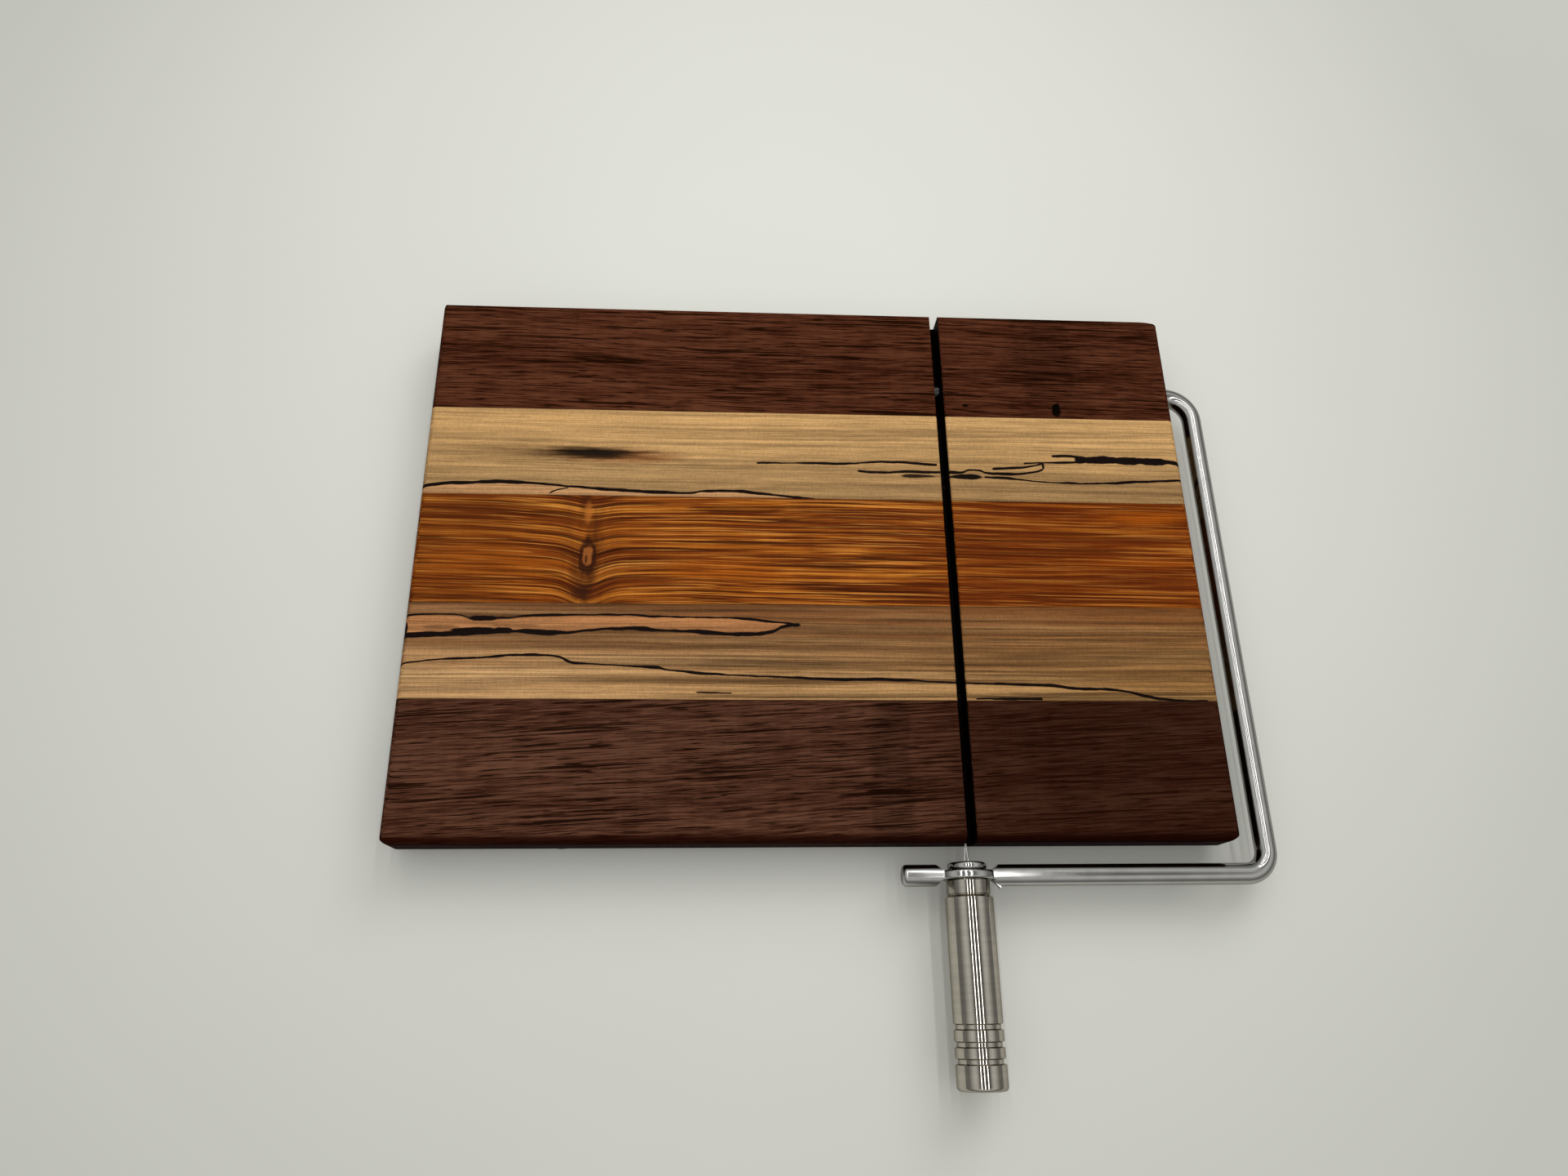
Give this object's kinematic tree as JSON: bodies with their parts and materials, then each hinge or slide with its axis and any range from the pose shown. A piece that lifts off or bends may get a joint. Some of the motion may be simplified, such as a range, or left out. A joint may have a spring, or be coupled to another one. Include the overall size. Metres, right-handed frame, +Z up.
{
  "type": "cheese wire cutter",
  "caption": "Laminated hardwood board with a saw slot and a pivoting bent-rod frame that holds a taut cutting wire and a turned metal handle, for slicing cheese",
  "frame": {"origin": "centre of the whole object's bounding box at the height of the feet's bottom faces, which is where the table is", "axes": "+X along the board's long side towards the frame's right run, +Y from the handle to the back of the board, +Z up"},
  "size_m": [0.2682, 0.2532, 0.0186],
  "materials": {
    "walnut_front": "oiled dark walnut",
    "walnut_back": "oiled dark reddish walnut",
    "maple_front": "oiled spalted maple",
    "maple_back": "oiled spalted maple",
    "orange_wood": "oiled orange hardwood",
    "polished_rod": "polished stainless steel",
    "polished_bolt": "polished stainless steel",
    "satin_handle": "turned satin stainless steel",
    "wire_steel": "drawn stainless wire",
    "zinc_steel": "zinc plated steel",
    "foot_rubber": "matt black rubber"
  },
  "bodies": {
    "board": {"walnut_strip_front": "walnut_front", "maple_strip_front": "maple_front", "orange_strip_middle": "orange_wood", "maple_strip_back": "maple_back", "walnut_strip_back": "walnut_back", "rubber_foot_front_left": "foot_rubber", "foot_insert_front_left": "zinc_steel", "foot_screw_front_left": "zinc_steel", "rubber_foot_front_right": "foot_rubber", "foot_insert_front_right": "zinc_steel", "foot_screw_front_right": "zinc_steel", "rubber_foot_back_left": "foot_rubber", "foot_insert_back_left": "zinc_steel", "foot_screw_back_left": "zinc_steel", "rubber_foot_back_right": "foot_rubber", "foot_insert_back_right": "zinc_steel", "foot_screw_back_right": "zinc_steel"},
    "frame": {"frame_rod": "polished_rod", "cutting_wire": "wire_steel", "wire_end_ball": "wire_steel"},
    "bolt": {"tension_bolt": "polished_bolt", "anchor_pin": "polished_bolt"},
    "handle": {"handle_grip": "satin_handle"}
  },
  "joints": [
    {"name": "frame_pivot", "type": "hinge", "parent": "board", "child": "frame", "pos_m": [0.03801, 0.09815, 0.01135], "axis": [-1, 0, 0], "range_deg": [0, 180]},
    {"name": "handle_turn", "type": "hinge", "parent": "frame", "child": "handle", "pos_m": [0.03801, -0.06955, 0.01135], "axis": [0, -1, 0], "range_deg": [0, 720]},
    {"name": "bolt_draw", "type": "slide", "parent": "frame", "child": "bolt", "axis": [0, 1, 0], "range_m": [0, 0.0016]}
  ],
  "couplings": [
    {"joint": "bolt_draw", "follows": "handle_turn", "m_per_rad": 0.00012732}
  ]
}
